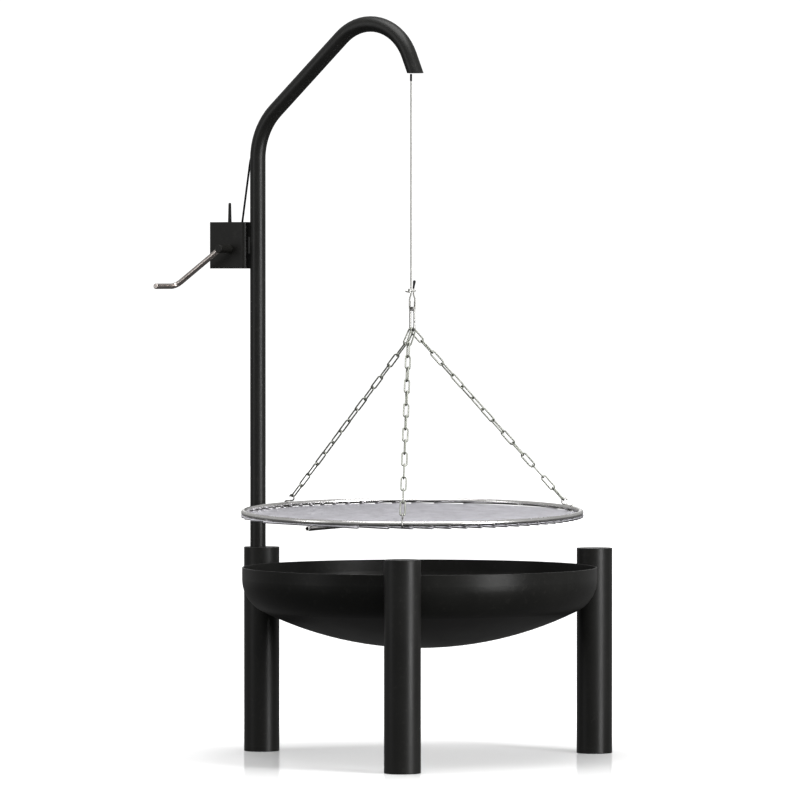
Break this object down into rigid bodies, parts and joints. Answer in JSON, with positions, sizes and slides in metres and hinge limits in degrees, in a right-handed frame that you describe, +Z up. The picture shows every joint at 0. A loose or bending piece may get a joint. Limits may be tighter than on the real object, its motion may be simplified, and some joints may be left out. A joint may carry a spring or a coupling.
{
  "type": "fire bowl with winch arm and hung grate",
  "caption": "Dished steel fire bowl on tube legs, with a swivelling tube arm, a hand winch, and a round wire grate hung on chains from the winch's rope.",
  "frame": {"origin": "on the ground, under the middle of the whole object's box", "axes": "+Z up; +X along the arm, from the mast towards the middle of the bowl; +Y to the left of it"},
  "size_m": [0.9454, 0.76, 1.5078],
  "materials": {
    "black_steel": "satin heat-proof black",
    "black_plastic": "matt black sheath",
    "stainless": "bright drawn stainless",
    "zinc_steel": "zinc-plated",
    "chain_steel": "dull galvanised",
    "bronze": "plain bearing bronze"
  },
  "bodies": {
    "stand": {"bowl": "black_steel", "leg_front": "black_steel", "leg_right": "black_steel", "leg_mast": "black_steel", "foot_front": "black_steel", "foot_right": "black_steel", "foot_mast": "black_steel", "cap_front": "black_steel", "cap_right": "black_steel", "cap_mast": "black_steel", "mast_socket": "black_steel", "socket_base": "black_steel", "weld_beads": "black_steel"},
    "crane": {"mast_arm": "black_steel", "winch_bracket": "black_steel", "bracket_screws": "zinc_steel", "winch_cover": "black_steel", "winch_back_plate": "black_steel", "housing_posts": "zinc_steel", "cover_screws": "zinc_steel", "crank_bush_front": "bronze", "crank_bush_back": "bronze", "drum_pin": "zinc_steel", "pawl_pin": "zinc_steel", "pawl_spring": "zinc_steel", "rope_riser": "black_plastic", "rope_in_arm": "black_plastic", "rope_guide": "black_plastic"},
    "drum": {"rope_drum": "zinc_steel", "drum_gear": "zinc_steel", "rope_on_drum": "black_plastic"},
    "crank": {"crank_shaft": "zinc_steel", "pinion": "zinc_steel", "ratchet_wheel": "zinc_steel", "shaft_circlip": "zinc_steel", "crank_hub": "black_steel", "crank_arm": "stainless"},
    "pawl": {"pawl_lever": "zinc_steel"},
    "sleeve": {"rope_sleeve": "black_plastic"},
    "rope": {"rope_hanging": "stainless"},
    "grate": {"rope_eye": "stainless", "thimble": "stainless", "rope_tail_sleeve": "black_plastic", "clip_saddle": "zinc_steel", "clip_u_bolt": "zinc_steel", "clip_nuts": "zinc_steel", "carabiner": "stainless", "carabiner_gate": "stainless", "chain_front": "chain_steel", "chain_left": "chain_steel", "chain_right": "chain_steel", "hook_front": "stainless", "hook_left": "stainless", "hook_right": "stainless", "grate_ring": "stainless", "grate_bars": "stainless", "grate_rod": "stainless"}
  },
  "joints": [
    {"name": "swivel", "type": "hinge", "parent": "stand", "child": "crane", "pos_m": [-0.2933, 0, 0.421], "axis": [0, 0, 1], "continuous": true},
    {"name": "swing", "type": "hinge", "parent": "crane", "child": "sleeve", "pos_m": [0.0917, 0, 1.39], "axis": [1, 0, 0], "range_deg": [-10, 10]},
    {"name": "turn", "type": "hinge", "parent": "sleeve", "child": "rope", "pos_m": [0.0917, 0, 1.3], "axis": [0, 0, 1], "continuous": true},
    {"name": "lift", "type": "slide", "parent": "rope", "child": "grate", "axis": [0, 0, 1], "range_m": [0, 0.3], "deforming": ["rope_hanging"]},
    {"name": "drum_spin", "type": "hinge", "parent": "crane", "child": "drum", "pos_m": [-0.3532, 0, 1.06164], "axis": [0, 1, 0], "range_deg": [-1, 1111]},
    {"name": "crank_spin", "type": "hinge", "parent": "crane", "child": "crank", "pos_m": [-0.3523, 0, 1.0345], "axis": [0, 1, 0], "range_deg": [-2220, 1]},
    {"name": "pawl_lift", "type": "hinge", "parent": "crane", "child": "pawl", "pos_m": [-0.3753, 0.0129, 1.072], "axis": [0, 1, 0], "range_deg": [0, 12], "stiffness_Nm_per_rad": 0.05, "springref_deg": -5.73}
  ],
  "couplings": [
    {"joint": "drum_spin", "follows": "lift", "rad_per_m": 64.516},
    {"joint": "crank_spin", "follows": "lift", "rad_per_m": -129.03}
  ]
}
